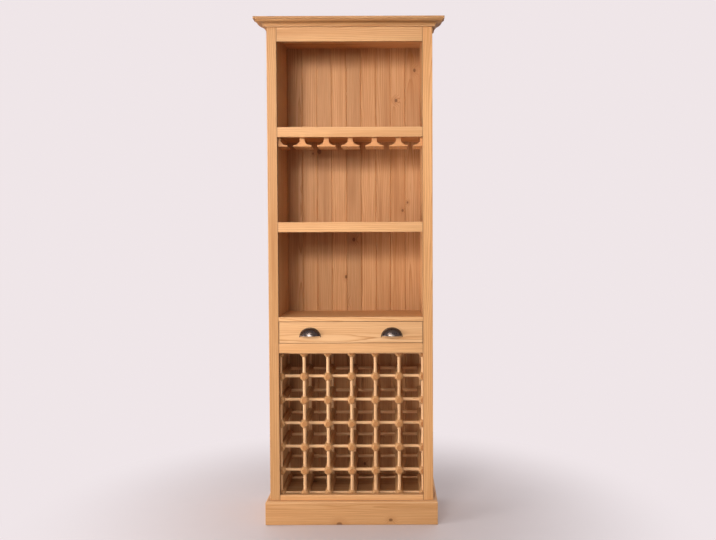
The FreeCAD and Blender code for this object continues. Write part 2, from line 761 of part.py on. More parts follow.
for number, (hand, centre) in enumerate(pull_centres.items()):
    half_width = pull_width / 2 - pull_rim
    dome_height = pull_height - pull_rim
    outside = dome(f"{hand}_pull_outside", centre, half_width, dome_height, pull_depth)
    hollow = dome(
        f"{hand}_pull_hollow", centre,
        half_width - pull_wall, dome_height - pull_wall, pull_depth - pull_wall)
    rim = dome(f"{hand}_pull_rim", centre, half_width + pull_rim, pull_height, pull_depth / 2)
    sides = (centre - pull_width, centre + pull_width)
    lip_z = pull_base_z + pull_lip_rise
    above_z = pull_base_z + pull_height * 2
    rim_slab = block(
        f"{hand}_rim_slab", sides, (face_y - pull_wall, face_y), (pull_base_z, above_z))
    quarter = block(
        f"{hand}_pull_quarter", sides, (face_y - pull_depth * 2, face_y), (lip_z, above_z))
    shell = cut(
        f"{hand}_pull_shell",
        join(f"{hand}_pull_form", [
            overlap(f"{hand}_quarter_dome", outside, quarter),
            overlap(f"{hand}_rim_plate", rim, rim_slab)]),
        [hollow])
    posts = []
    for place_index in (number * 2, number * 2 + 1):
        post_x, _, post_z = post_places[place_index]
        post = doc.addObject("Part::Cylinder", f"{hand}_post_{place_index}")
        bind(post, Radius=pull_post_diameter / 2, Height=pull_depth)
        turn(post, *TO_FRONT)
        place(post, post_x, face_y, post_z)
        posts.append(overlap(f"{hand}_post_{place_index}_trimmed", post, outside))
    solid_pull = join(f"{hand}_pull_solid", [shell] + posts)
    bores = pull_holes[number * 2:number * 2 + 2]
    piece(cut(f"{hand}_pull_bored", solid_pull, bores), f"{hand}_cup_pull")

# Runners, kickers and stops that carry and guide the drawer
runner_top = drawer_under - runner_clearance
stop_front_y = drawer_end_y + stop_clearance
stops = []
runner_sides = {
    "left": (-inner_x, runner_width - inner_x), "right": (inner_x - runner_width, inner_x)}
for hand, x in runner_sides.items():
    runner = block(f"{hand}_runner", x, (frame_back_y, board_front_y), (deck_top, runner_top))
    piece(runner, f"{hand}_drawer_runner")
    kicker = block(
        f"{hand}_kicker", x, (frame_back_y, board_front_y), (kicker_under, counter_under))
    piece(kicker, f"{hand}_drawer_kicker")
    stops.append(block(
        f"{hand}_stop", x, (stop_front_y, stop_front_y + stop_length),
        (runner_top, runner_top + stop_height)))
piece(group("stop_group", stops), "drawer_stops")

doc.recompute()
for item in doc.Objects:
    if "Invalid" in item.State or "Error" in item.State:
        raise RuntimeError(f"{item.Name} ({item.Label}) failed: {item.State}")
for item in pieces:
    if item.Shape.isNull() or not item.Shape.isValid() or not item.Shape.Solids:
        raise RuntimeError(f"{item.Label} has no valid shape")

os.makedirs("parts", exist_ok=True)
for item in pieces:
    item.Shape.exportStep(f"parts/{item.Label}.step")
    box = item.Shape.BoundBox
    print(f"{item.Label}: {len(item.Shape.Solids)} solids, "
          f"{box.XLength:.1f} x {box.YLength:.1f} x {box.ZLength:.1f}")
print(f"{len(pieces)} pieces")
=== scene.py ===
import math
from collections import namedtuple

import bmesh
import bpy
from mathutils import Matrix, Vector

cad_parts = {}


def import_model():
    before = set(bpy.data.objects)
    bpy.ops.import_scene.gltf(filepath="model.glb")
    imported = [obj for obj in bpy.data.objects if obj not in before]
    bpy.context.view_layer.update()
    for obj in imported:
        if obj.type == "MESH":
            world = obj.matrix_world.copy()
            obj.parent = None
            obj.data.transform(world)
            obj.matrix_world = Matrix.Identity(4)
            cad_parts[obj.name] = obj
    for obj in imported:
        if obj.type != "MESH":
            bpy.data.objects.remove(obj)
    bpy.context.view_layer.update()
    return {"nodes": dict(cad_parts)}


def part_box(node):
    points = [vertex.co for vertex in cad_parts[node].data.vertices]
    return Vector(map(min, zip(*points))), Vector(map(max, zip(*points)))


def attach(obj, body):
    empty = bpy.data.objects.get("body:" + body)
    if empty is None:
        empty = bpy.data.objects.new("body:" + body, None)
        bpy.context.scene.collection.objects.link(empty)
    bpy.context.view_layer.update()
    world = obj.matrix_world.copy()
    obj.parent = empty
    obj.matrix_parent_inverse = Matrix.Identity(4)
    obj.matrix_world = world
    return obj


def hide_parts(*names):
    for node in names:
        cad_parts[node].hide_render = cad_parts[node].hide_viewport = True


# A tall waxed-pine wine cabinet. Metres, +Z up, the front faces -Y.

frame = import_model()
nodes = frame["nodes"]

UNIT = (0, 1)


class Graph:
    """The node tree of a material or world; most calls add one node and return its output."""

    def __init__(self, owner):
        owner.use_nodes = True
        self.owner = owner
        self.tree = owner.node_tree
        self.shader = self.tree.nodes.get("Principled BSDF")

    def link(self, socket, value):
        """Set a socket to a number or colour, or join it to an output."""
        if isinstance(value, bpy.types.NodeSocket):
            self.tree.links.new(value, socket)
        else:
            socket.default_value = value

    def add(self, kind, inputs=(), output=0, **settings):
        """One node with settings; inputs are pairs of a socket and its value."""
        node = self.tree.nodes.new(kind)
        for name, value in settings.items():
            setattr(node, name, value)
        for socket, value in inputs:
            self.link(node.inputs[socket], value)
        return node.outputs[output]

    def attribute(self, name, output="Fac"):
        """A value that each piece carries."""
        return self.add(
            "ShaderNodeAttribute", output=output, attribute_type="OBJECT", attribute_name=name)

    def coordinates(self, kind):
        """The place or the direction of a point, in the piece's own axes."""
        return self.add("ShaderNodeTexCoord", output=kind)

    def math(self, operation, *values):
        return self.add("ShaderNodeMath", enumerate(values), operation=operation)

    def vector(self, operation, *values):
        return self.add("ShaderNodeVectorMath", enumerate(values), operation=operation)

    def length(self, vector):
        return self.add("ShaderNodeVectorMath", ((0, vector),), "Value", operation="LENGTH")

    def join(self, x, y, z):
        return self.add("ShaderNodeCombineXYZ", enumerate((x, y, z)))

    def split(self, vector):
        """The three numbers of a vector or colour."""
        node = self.tree.nodes.new("ShaderNodeSeparateXYZ")
        self.link(node.inputs[0], vector)
        return node.outputs[0], node.outputs[1], node.outputs[2]

    def noise(self, position, detail):
        """Smooth noise from 0 to 1, one swell per unit of position."""
        inputs = (("Vector", position), ("Scale", 1.0), ("Detail", detail))
        return self.add("ShaderNodeTexNoise", inputs, "Fac")

    def cloud(self, place, swells, detail):
        """Smooth noise from 0 to 1 with a number of swells per metre."""
        return self.noise(self.vector("MULTIPLY", place, (swells, swells, swells)), detail)

    def fit(self, value, old, new, kind="LINEAR"):
        """Move a value from one range to another, without leaving it."""
        inputs = ((0, value), (1, old[0]), (2, old[1]), (3, new[0]), (4, new[1]))
        return self.add("ShaderNodeMapRange", inputs, interpolation_type=kind)

    def mix(self, share, first, second, blend="MIX"):
        """Two colours mixed; 6 and 7 are the colour sockets of the node."""
        inputs = ((0, share), (6, first), (7, second))
        return self.add("ShaderNodeMix", inputs, 2, data_type="RGBA", blend_type=blend)

    def ramp(self, share, stops):
        """A colour that runs through stops, each a place and a colour."""
        node = self.tree.nodes.new("ShaderNodeValToRGB")
        elements = node.color_ramp.elements
        while len(elements) < len(stops):
            elements.new(1.0)
        for element, (place, colour) in zip(elements, stops):
            element.position = place
            element.color = colour
        self.link(node.inputs[0], share)
        return node.outputs[0]

    def finish(self, colour, roughness, height, relief):
        """Give the shader its colour, its roughness and a bump of a real height."""
        bump = self.add(
            "ShaderNodeBump", (("Height", height), ("Strength", 1.0), ("Distance", relief)))
        self.link(self.shader.inputs["Base Color"], colour)
        self.link(self.shader.inputs["Roughness"], roughness)
        self.link(self.shader.inputs["Normal"], bump)
        return self.owner


# Waxed pine: growth rings about a pith, knots that the rings flow round, and fine fibres
EARLY_WOOD = (0.72, 0.395, 0.18, 1)
MIDDLE_WOOD = (0.64, 0.32, 0.128, 1)
LATE_WOOD = (0.47, 0.205, 0.07, 1)
KNOT_RIM = (0.11, 0.04, 0.014, 1)
KNOT_HEART = (0.28, 0.115, 0.04, 1)
END_GRAIN = (0.5, 0.2, 0.065, 1)
WORN_EDGE = (0.78, 0.50, 0.28, 1)
SEAM_COLOUR = (0.2, 0.085, 0.03, 1)
WAX_GLOSS = 0.22

# Boards: the axes that lie wide and thick across each axis, how far a board is moved in the
# pattern, how much the pieces of one node differ in number, and the strips of a panel
ALL_AXES = {0, 1, 2}
CROSS_AXES = {0: (2, 1), 1: (0, 2), 2: (0, 1)}
BOARD_SHIFT = 20.0
ISLAND_NUMBERS = 100.0
STAVE_WIDTH = 0.074

# Knots: the cells they lie in across and along a board, their radius, and in radii where
# they end and where the rings flow round them
KNOT_CELL = (0.105, 0.42)
KNOT_RADIUS = (0.0035, 0.009)
KNOT_EDGE = (1.15, 0.8)
KNOT_FLOW = (4.5, 0.6)
KNOT_SKEW = 0.6
KNOT_STRETCH = 1.35
KNOT_COVER = 0.85
KNOT_RINGS = 2.5
KNOT_STOPS = ((0.0, KNOT_HEART), (0.7, KNOT_RIM), (1.0, KNOT_HEART))

# Rings: where the pith lies beside a board, how it wanders, and how rings swell round a knot
RING_WIDTH = 0.0062
RING_STOPS = (
    (0.0, EARLY_WOOD), (0.5, EARLY_WOOD), (0.78, MIDDLE_WOOD), (0.93, LATE_WOOD),
    (1.0, EARLY_WOOD))
PITH_WIDE = (-0.075, 0.075)
PITH_DEEP = (0.012, 0.05)
PITH_LEAN = (-0.03, 0.03)
PITH_SWAY = (-0.02, 0.02)
SWAY_ALONG = 1.7
SWAY_DETAIL = 1.0
FLOW_REACH = 0.012
RIPPLE_RINGS = 0.9

# Noise drawn out with the grain: swells per metre across and along it, and detail
RIPPLE_NOISE = (60.0, 6.0, 2.0)
FIBRE_NOISE = (700.0, 14.0, 3.0)
STREAK_NOISE = (38.0, 1.8, 3.0)
BAND_NOISE = (130.0, 3.0, 2.0)

# Pairs of ranges: a value and what it becomes
STREAK_WOOD = ((0.35, 0.75), (0.0, 0.75))
STREAK_STAIN = ((0.5, 0.72), (0.0, 0.34))
BAND_STAIN = ((0.52, 0.75), (0.0, 0.3))
FIBRE_SHADE = ((0.2, 0.8), (0.9, 1.08))
BOARD_SHADE = (UNIT, (0.95, 1.03))
END_SHARE = ((0.7, 0.95), (0.0, 0.7))
SEAM_SHARE = ((0.0028, 0.0), (0.0, 0.9))
PINE_ROUGHNESS = ((0.4, 1.6), (0.46, 0.62))
FLOW_STAIN = 0.4
RING_HEIGHT = -0.4
PINE_RELIEF = 0.00025

# Where a point lies in its board: wide and thick across the grain, length along it from the
# board's middle, and far, which is length moved by chance. Shift and the draws are random.
Grain = namedtuple("Grain", "wide thick length far shift draws")


def random_numbers(graph, number, strip, draw):
    """Three random numbers of a board, a strip of it and a draw."""
    inputs = (("Vector", graph.join(number, strip, draw)),)
    return graph.split(graph.add("ShaderNodeTexWhiteNoise", inputs, "Color"))


def board_grain(graph, place, along, staves, lattice):
    """The grain of a board; staves and lattice are those of pine."""
    middle = graph.attribute("grain_middle", "Vector")
    number = graph.attribute("grain_number")
    local = list(graph.split(graph.vector("SUBTRACT", place, middle)))
    strip = 0.0
    if staves:
        shifted = graph.math("DIVIDE", local[1], STAVE_WIDTH)
        strip = graph.math("FLOOR", shifted)
        centred = graph.math("SUBTRACT", graph.math("FRACT", shifted), 0.5)
        local[1] = graph.math("MULTIPLY", centred, STAVE_WIDTH)
    if lattice:
        for axis in ALL_AXES - {along}:
            local[axis] = graph.math("WRAP", local[axis], lattice / 2, -lattice / 2)
        island = graph.add("ShaderNodeNewGeometry", output="Random Per Island")
        number = graph.math("ADD", number, graph.math("MULTIPLY", island, ISLAND_NUMBERS))
    first, second, third = random_numbers(graph, number, strip, 1.0)
    wide, thick = (local[axis] for axis in CROSS_AXES[along])
    far = graph.math("ADD", local[along], graph.math("MULTIPLY", first, BOARD_SHIFT))
    shift = graph.math("MULTIPLY", second, BOARD_SHIFT)
    draws = (third, *random_numbers(graph, number, strip, 2.0))
    return Grain(wide, thick, local[along], far, shift, draws)


def drawn_out(graph, grain, noise, shift=0.0):
    """Noise that is drawn out with the grain."""
    across, along, detail = noise
    place = graph.join(
        graph.math("MULTIPLY", grain.wide, across), graph.math("MULTIPLY", grain.thick, across),
        graph.math("ADD", graph.math("MULTIPLY", grain.far, along), shift))
    return graph.noise(place, detail)


def knots(graph, grain, share):
    """Knots in cells of a board's face, of which only a share have one.

    Returns how far a point is from the heart, in radii, how much of it is knot, and how
    much the rings flow round the knot there.
    """
    skew = graph.math("ADD", grain.wide, graph.math("MULTIPLY", grain.thick, KNOT_SKEW))
    cell = graph.join(
        graph.math("ADD", graph.math("DIVIDE", skew, KNOT_CELL[0]), grain.shift),
        graph.math("DIVIDE", grain.far, KNOT_CELL[1]), 0.0)
    voronoi = graph.tree.nodes.new("ShaderNodeTexVoronoi")
    voronoi.voronoi_dimensions = "2D"
    graph.link(voronoi.inputs["Vector"], cell)
    graph.link(voronoi.inputs["Scale"], 1.0)
    chance, girth, _ = graph.split(voronoi.outputs["Color"])
    away = graph.vector(
        "MULTIPLY", graph.vector("SUBTRACT", cell, voronoi.outputs["Position"]),
        (KNOT_CELL[0], KNOT_CELL[1] / KNOT_STRETCH, 0))
    radii = graph.math("DIVIDE", graph.length(away), graph.fit(girth, UNIT, KNOT_RADIUS))
    present = graph.math("LESS_THAN", chance, share)
    knot = graph.math("MULTIPLY", present, graph.fit(radii, KNOT_EDGE, UNIT, "SMOOTHSTEP"))
    flow = graph.math("MULTIPLY", present, graph.fit(radii, KNOT_FLOW, UNIT, "SMOOTHERSTEP"))
    return radii, knot, flow


def growth_rings(graph, grain, flow):
    """Where a point lies in its year's growth, from 0 to 1, about a pith beside the board."""
    beside, behind, leaning, _ = grain.draws
    sway_place = graph.join(graph.math("MULTIPLY", grain.far, SWAY_ALONG), grain.shift, beside)
    sway = graph.fit(graph.noise(sway_place, SWAY_DETAIL), UNIT, PITH_SWAY)
    lean = graph.math("MULTIPLY", grain.length, graph.fit(leaning, UNIT, PITH_LEAN))
    ring_wide = graph.math("SUBTRACT", grain.wide, graph.fit(beside, UNIT, PITH_WIDE))
    ring_deep = graph.math(
        "ADD", graph.math("ADD", grain.thick, graph.fit(behind, UNIT, PITH_DEEP)),
        graph.math("ADD", sway, lean))
    reach = graph.length(graph.join(ring_wide, ring_deep, 0.0))
    reach = graph.math("ADD", reach, graph.math("MULTIPLY", flow, FLOW_REACH))
    ripple = graph.math("MULTIPLY", drawn_out(graph, grain, RIPPLE_NOISE), RIPPLE_RINGS)
    return graph.math("FRACT", graph.math("ADD", graph.math("DIVIDE", reach, RING_WIDTH), ripple))


def pine(name, along, knot_share, tint, staves=False, lattice=0.0, figure=1.0, seam=0.0, worn=0.0):
    """Pine with its grain along one axis.

    Each piece gives its middle and its own number, so boards differ. Staves are the
    strips of a glued panel, and lattice is the pitch of pieces that share one node.
    Figure is how strongly the streaks show, and seam is how far from the middle of the
    cabinet rails meet uprights in a dark line. Worn is the share of rubbed, paler wood.
    """
    graph = Graph(bpy.data.materials.new(name))
    place = graph.coordinates("Object")
    grain = board_grain(graph, place, along, staves, lattice)
    knot_radii, knot, flow = knots(graph, grain, knot_share)
    ring = growth_rings(graph, grain, flow)
    fibre = drawn_out(graph, grain, FIBRE_NOISE)
    streak = drawn_out(graph, grain, STREAK_NOISE, grain.shift)
    band = drawn_out(graph, grain, BAND_NOISE, grain.shift)

    colour = graph.ramp(ring, RING_STOPS)
    colour = graph.mix(graph.fit(streak, *STREAK_WOOD), colour, MIDDLE_WOOD)
    colour = graph.mix(graph.math("MULTIPLY", flow, FLOW_STAIN), colour, LATE_WOOD)
    stained = graph.math("MAXIMUM", graph.fit(streak, *STREAK_STAIN), graph.fit(band, *BAND_STAIN))
    colour = graph.mix(graph.math("MULTIPLY", stained, figure), colour, LATE_WOOD)
    shade = graph.math(
        "MULTIPLY", graph.fit(fibre, *FIBRE_SHADE), graph.fit(grain.draws[-1], *BOARD_SHADE))
    # The piece's tone, which on some pieces is painted shade
    shade = graph.math("MULTIPLY", shade, graph.attribute("tone_and_painted_shade"))
    colour = graph.mix(1.0, colour, graph.join(shade, shade, shade), "MULTIPLY")
    facing = graph.split(graph.coordinates("Normal"))[along]
    colour = graph.mix(graph.fit(graph.math("ABSOLUTE", facing), *END_SHARE), colour, END_GRAIN)
    knot_ring = graph.math("FRACT", graph.math("MULTIPLY", knot_radii, KNOT_RINGS))
    heart = graph.ramp(knot_ring, KNOT_STOPS)
    colour = graph.mix(graph.math("MULTIPLY", knot, KNOT_COVER), colour, heart)
    # The tint, which on the side panels and the rack also carries painted light and shade
    colour = graph.mix(1.0, colour, tint, "MULTIPLY")
    if worn:
        colour = graph.mix(worn, colour, WORN_EDGE)
    if seam:
        across = graph.math("ABSOLUTE", graph.split(place)[0])
        gap = graph.math("ABSOLUTE", graph.math("SUBTRACT", across, seam))
        colour = graph.mix(graph.fit(gap, *SEAM_SHARE), colour, SEAM_COLOUR)

    graph.link(graph.shader.inputs["Specular IOR Level"], WAX_GLOSS)
    roughness = graph.fit(graph.math("ADD", fibre, ring), *PINE_ROUGHNESS)
    height = graph.math("ADD", graph.math("MULTIPLY", ring, RING_HEIGHT), fibre)
    return graph.finish(colour, roughness, height, PINE_RELIEF)


# Antique dark iron, rubbed bright where a hand meets it, with a painted highlight at the lip's
# middle; clouds are swells per metre and detail
DARK_IRON = (0.045, 0.041, 0.044, 1)
BROWN_IRON = (0.12, 0.075, 0.045, 1)
RUBBED_IRON_AND_HIGHLIGHT = (0.5, 0.44, 0.38, 1)
RUBBED_AND_HIGHLIGHT_WIDTH = 0.018
RUBBED_AND_HIGHLIGHT_HEIGHT = 0.010
RUBBED_AND_HIGHLIGHT_SHARE = ((1.0, 0.1), (0.0, 0.9))
BROWN_DEPTH = 0.006
BROWN_SHARE = ((-BROWN_DEPTH, -BROWN_DEPTH / 3), UNIT)
MOTTLE_SHARE = ((0.3, 0.7), (0.0, 0.6))
IRON_CLOUD = (160.0, 4.0)
IRON_GRIT = (1500.0, 2.0)
IRON_ROUGHNESS = ((0.25, 0.75), (0.24, 0.36))
IRON_RELIEF = 0.00008

# Zinc-plated steel
DULL_ZINC = (0.42, 0.41, 0.38, 1)
BRIGHT_ZINC = (0.60, 0.58, 0.53, 1)
ZINC_CLOUD = (420.0, 3.0)
ZINC_SHARE = ((0.3, 0.7), UNIT)
ZINC_ROUGHNESS = ((0.25, 0.75), (0.28, 0.48))
ZINC_RELIEF = 0.0001


def dark_iron(name):
    """Dark cast iron, brown next to the drawer and paler at the middle of the lip,
    where the paler metal is partly wear and partly a painted highlight.
    """
    graph = Graph(bpy.data.materials.new(name))
    place = graph.coordinates("Object")
    away = graph.vector("SUBTRACT", place, graph.attribute("lip_middle", "Vector"))
    cloud = graph.cloud(place, *IRON_CLOUD)
    grit = graph.cloud(place, *IRON_GRIT)
    # Paler metal at the lip's middle: partly wear, partly a painted highlight
    stretched = graph.vector("MULTIPLY", away, (1 / RUBBED_AND_HIGHLIGHT_WIDTH, 0.0, 1 / RUBBED_AND_HIGHLIGHT_HEIGHT))
    wear_and_highlight = graph.fit(graph.length(stretched), *RUBBED_AND_HIGHLIGHT_SHARE, "SMOOTHSTEP")
    brown = graph.fit(graph.split(away)[1], *BROWN_SHARE)
    mottled = graph.mix(graph.fit(cloud, *MOTTLE_SHARE), DARK_IRON, BROWN_IRON)
    colour = graph.mix(wear_and_highlight, graph.mix(brown, mottled, BROWN_IRON), RUBBED_IRON_AND_HIGHLIGHT)
    graph.link(graph.shader.inputs["Metallic"], 1.0)
    roughness = graph.fit(cloud, *IRON_ROUGHNESS)
    return graph.finish(colour, roughness, graph.math("ADD", cloud, grit), IRON_RELIEF)


def screw_steel(name):
    """Zinc-plated steel, brighter and duller in clouds."""
    graph = Graph(bpy.data.materials.new(name))
    cloud = graph.cloud(graph.coordinates("Object"), *ZINC_CLOUD)
    colour = graph.mix(graph.fit(cloud, *ZINC_SHARE), DULL_ZINC, BRIGHT_ZINC)
    graph.link(graph.shader.inputs["Metallic"], 1.0)
    return graph.finish(colour, graph.fit(cloud, *ZINC_ROUGHNESS), cloud, ZINC_RELIEF)


# Wooden pieces: how each kind of board is cut and tinted, and the pieces cut that way. Some
# tints also carry painted light and shade, as said at each
ALONG_X, ALONG_Y, ALONG_Z = 0, 1, 2
FRAME_TINT = (1.0, 1.0, 1.0, 1)
UPRIGHT_TINT = (0.95, 0.91, 0.84, 1)
# Side panels darker and greyer: partly their own colour, partly painted shade, greyer like the
# shade on the inner walls
SIDE_TINT_AND_PAINTED_SHADE = (0.88, 0.9, 0.92, 1)
BACK_TINT = (0.84, 0.81, 0.8, 1)
DRAWER_TINT = (0.96, 1.01, 1.09, 1)
# Rack bars darkened: partly their own colour, partly painted shade on their sides inside the cells
RACK_TINT_AND_PAINTED_SHADE = (0.76, 0.75, 0.72, 1)
# Crossbars and rods paler and creamier: partly their own colour, partly painted light where they
# catch the lamps
CROSSBAR_TINT_AND_PAINTED_LIGHT = (1.2, 1.4, 1.68, 1)
ROD_TINT_AND_PAINTED_LIGHT = (1.05, 1.18, 1.4, 1)
MOULDING_TINT = (0.86, 0.82, 0.77, 1)
RACK_CELLS = 6
rack_low, rack_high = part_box("rack_front_crossbars")
rack_pitch = (rack_high.x - rack_low.x) / RACK_CELLS
seam_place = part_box("right_upright")[0].x

BACK_BOARDS = 9
HANGING_RAILS = 7
back_boards = [f"back_board_{number + 1}" for number in range(BACK_BOARDS)]
hanging_rails = [f"hanging_rail_{number + 1}" for number in range(HANGING_RAILS)]
finishes = {
    "upright_pine": (
        dict(along=ALONG_Z, knot_share=0.12, tint=UPRIGHT_TINT, figure=1.6, seam=seam_place),
        ["left_upright", "right_upright"]),
    "side_pine": (
        dict(along=ALONG_Z, knot_share=0.25, tint=SIDE_TINT_AND_PAINTED_SHADE, staves=True),
        ["left_side_panel", "right_side_panel"]),
    "back_pine": (
        dict(along=ALONG_Z, knot_share=0.8, tint=BACK_TINT, figure=1.8),
        back_boards),
    "rail_pine": (
        dict(along=ALONG_X, knot_share=0.12, tint=FRAME_TINT, seam=seam_place),
        ["top_rail", "upper_shelf_lip", "middle_shelf_lip", "drawer_rail", "bottom_rail"]),
    "moulding_pine": (
        dict(along=ALONG_X, knot_share=0.5, tint=MOULDING_TINT, figure=1.4),
        ["cornice_front", "plinth_front"]),
    "shelf_pine": (
        dict(along=ALONG_X, knot_share=0.2, tint=FRAME_TINT, staves=True),
        ["upper_shelf", "middle_shelf", "counter_shelf", "drawer_deck", "bottom_panel",
         "top_panel"]),
    "return_pine": (
        dict(along=ALONG_Y, knot_share=0.3, tint=MOULDING_TINT, figure=1.4),
        ["cornice_left", "cornice_right", "plinth_left", "plinth_right"]),
    "hanger_pine": (
        dict(along=ALONG_Y, knot_share=0.1, tint=FRAME_TINT),
        hanging_rails),
    "runner_pine": (
        dict(along=ALONG_Y, knot_share=0.1, tint=UPRIGHT_TINT),
        ["left_drawer_runner", "right_drawer_runner", "left_drawer_kicker", "right_drawer_kicker",
         "drawer_stops"]),
    "drawer_pine": (
        dict(along=ALONG_X, knot_share=0.08, tint=DRAWER_TINT, figure=0.6),
        ["drawer_front", "drawer_back"]),
    "drawer_side_pine": (
        dict(along=ALONG_Y, knot_share=0.15, tint=DRAWER_TINT),
        ["drawer_left_side", "drawer_right_side"]),
    "drawer_bottom_pine": (
        dict(along=ALONG_X, knot_share=0.2, tint=DRAWER_TINT, staves=True),
        ["drawer_bottom"]),
    "rack_bar_pine": (
        dict(along=ALONG_Y, knot_share=0.08, tint=RACK_TINT_AND_PAINTED_SHADE, lattice=rack_pitch),
        ["rack_bars", "rack_side_bars", "rack_top_and_bottom_bars", "rack_corner_bars"]),
    "rack_upright_pine": (
        dict(along=ALONG_Z, knot_share=0.05, tint=ROD_TINT_AND_PAINTED_LIGHT, lattice=rack_pitch),
        ["rack_front_uprights", "rack_rear_uprights"]),
    "rack_crossbar_pine": (
        dict(along=ALONG_X, knot_share=0.05, tint=CROSSBAR_TINT_AND_PAINTED_LIGHT, lattice=rack_pitch),
        ["rack_front_crossbars", "rack_rear_crossbars"]),
}
BOARDS_PER_FINISH = 20
WORN_SHARE = 0.35

# Boards lighter or darker than the others of their kind. Some of it is painted shade: the left
# upright, top rail, shelf lips and cornice front are darkened where the lamps light them more
# strongly, the left side panel as the shade inside the bays, and the bottom panel as the shade
# under the rack's bars
TONES_AND_PAINTED_SHADE = {
    "left_upright": 0.79, "top_rail": 0.88, "upper_shelf_lip": 0.9, "middle_shelf_lip": 0.95,
    "left_side_panel": 0.84, "cornice_front": 0.81, "drawer_deck": 0.9, "bottom_panel": 0.6,
    "plinth_front": 1.02}
BACK_TONES = (0.95, 1.03, 0.98, 1.05, 0.94, 1.02, 0.96, 1.0, 0.93)
TONES_AND_PAINTED_SHADE.update(zip(back_boards, BACK_TONES))

# Eased edges; angles in degrees
EDGE_WIDTH = 0.0010
FINE_EDGE = 0.0006
EDGE_WIDTHS = {
    "plinth_front": 0.002, "drawer_front": 0.0018,
    "drawer_left_side": FINE_EDGE, "drawer_right_side": FINE_EDGE}
EDGE_SEGMENTS = 2
EDGE_SLOT = 1
WELD_REACH = 0.00001
FLAT_ANGLE = 1.0
SHARP_ANGLE = 40.0
# Round pieces, and two whose faces the easing would fold or shade wrongly
PLAIN_NODES = {
    "rack_front_uprights", "rack_rear_uprights", "rack_front_crossbars", "rack_rear_crossbars",
    "rack_corner_bars", "upper_shelf"}


def paint(node, *materials):
    """Give a piece its materials."""
    slots = nodes[node].data.materials
    slots.clear()
    for material in materials:
        slots.append(material)


def ease_edges(piece, width):
    """Join the flat faces of a piece and round its sharp edges, which show the worn finish."""
    weld = piece.modifiers.new("Weld", "WELD")
    weld.merge_threshold = WELD_REACH
    flat = piece.modifiers.new("Flat faces", "DECIMATE")
    flat.decimate_type = "DISSOLVE"
    flat.angle_limit = math.radians(FLAT_ANGLE)
    bevel = piece.modifiers.new("Eased edges", "BEVEL")
    bevel.width = width
    bevel.segments = EDGE_SEGMENTS
    bevel.limit_method = "ANGLE"
    bevel.angle_limit = math.radians(SHARP_ANGLE)
    bevel.material = EDGE_SLOT


for number, (finish_name, (recipe, members)) in enumerate(finishes.items()):
    whole = pine(finish_name, **recipe)
    worn = pine(f"{finish_name}_edge", **recipe, worn=WORN_SHARE)
    for place, member in enumerate(sorted(members)):
        low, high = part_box(member)
        centre = (low + high) / 2
        if "lattice" in recipe:
            centre = Vector((rack_low.x, centre.y, rack_low.z))
        nodes[member]["grain_middle"] = list(centre)
        nodes[member]["grain_number"] = float(number * BOARDS_PER_FINISH + place)
        # Each piece's tone; on some pieces it is painted shade
        nodes[member]["tone_and_painted_shade"] = TONES_AND_PAINTED_SHADE.get(member, 1.0)
        paint(member, whole, whole if member in back_boards else worn)
        if member not in PLAIN_NODES:
            ease_edges(nodes[member], EDGE_WIDTHS.get(member, EDGE_WIDTH))

steel = screw_steel("screw_steel")
for node in ("back_board_screws", "hanging_rail_screws", "cup_pull_screws"):
    paint(node, steel)

# Cup pulls: a quarter dome with a rolled lip, on a flat arch whose feet reach below the lip
PULL_STEPS = 64
PULL_ROWS = 20
PULL_WALL = 0.0022
PULL_RIM_WIDTH = 0.0042
PULL_RIM_THICKNESS = 0.0026
PULL_RIM_SHOWN = 0.85
PULL_LIP_RISE = 0.005
PULL_LIP_RADIUS = 0.0021
PULL_LIP_TURNS = 16
PULL_VOXEL = 0.0005
PULL_SOFTENING = 0.5
PULL_SOFTENINGS = 5
# The arch's section: shares of its width, from the outside in, and of its thickness
ARCH_SECTION = (
    (0.0, 0.0), (0.0, 0.55), (0.18, 0.9), (0.4, 1.0), (0.6, 1.0), (0.82, 0.9), (1.0, 0.55),
    (1.0, 0.0))
UP = Vector((0, 0, 1))


def sweep(mesh, rings):
    """A closed solid through rings of points."""
    loops = [[mesh.verts.new(point) for point in ring] for ring in rings]
    for loop, following in zip(loops, loops[1:]):
        for step in range(len(loop)):
            after = (step + 1) % len(loop)
            mesh.faces.new((loop[step], loop[after], following[after], following[step]))
    mesh.faces.new(loops[0][::-1])
    mesh.faces.new(loops[-1])


def even_steps(first, last, count):
    """Numbers from first to last."""
    return [first + (last - first) * step / count for step in range(count + 1)]


def dome_rows(radii):
    """Arcs of a quarter dome from its left end to its right, each from the lip up to the back."""
    end = math.asin(PULL_LIP_RISE / radii.z)
    rows = []
    for along in even_steps(end, math.pi - end, PULL_STEPS):
        slice_size = math.sin(along)
        start = math.asin(min(1.0, PULL_LIP_RISE / (radii.z * slice_size)))
        rows.append([
            Vector((
                -radii.x * math.cos(along),
                -radii.y * slice_size * math.cos(up),
                radii.z * slice_size * math.sin(up)))
            for up in even_steps(start, math.pi / 2, PULL_ROWS)])
    return rows


def dome_shell(mesh, radii):
    """The hollow dome: each arc and the one inside it close a crescent. Returns its lower edge."""
    outside = dome_rows(radii)
    inside = dome_rows(radii - Vector((PULL_WALL, PULL_WALL, PULL_WALL)))
    sweep(mesh, [outer_row + inner_row[::-1] for outer_row, inner_row in zip(outside, inside)])
    return [row[0] for row in outside]


def rolled_lip(mesh, edge):
    """A round bead along the dome's lower edge."""
    turns = even_steps(0, 2 * math.pi, PULL_LIP_TURNS)[:-1]
    rings = []
    for index, point in enumerate(edge):
        ahead = edge[min(index + 1, len(edge) - 1)]
        behind = edge[max(index - 1, 0)]
        out = (ahead - behind).normalized().cross(UP)
        heart = point - out * PULL_LIP_RADIUS + UP * PULL_LIP_RADIUS
        rings.append([
            heart + (out * math.cos(turn) + UP * math.sin(turn)) * PULL_LIP_RADIUS
            for turn in turns])
    sweep(mesh, rings)


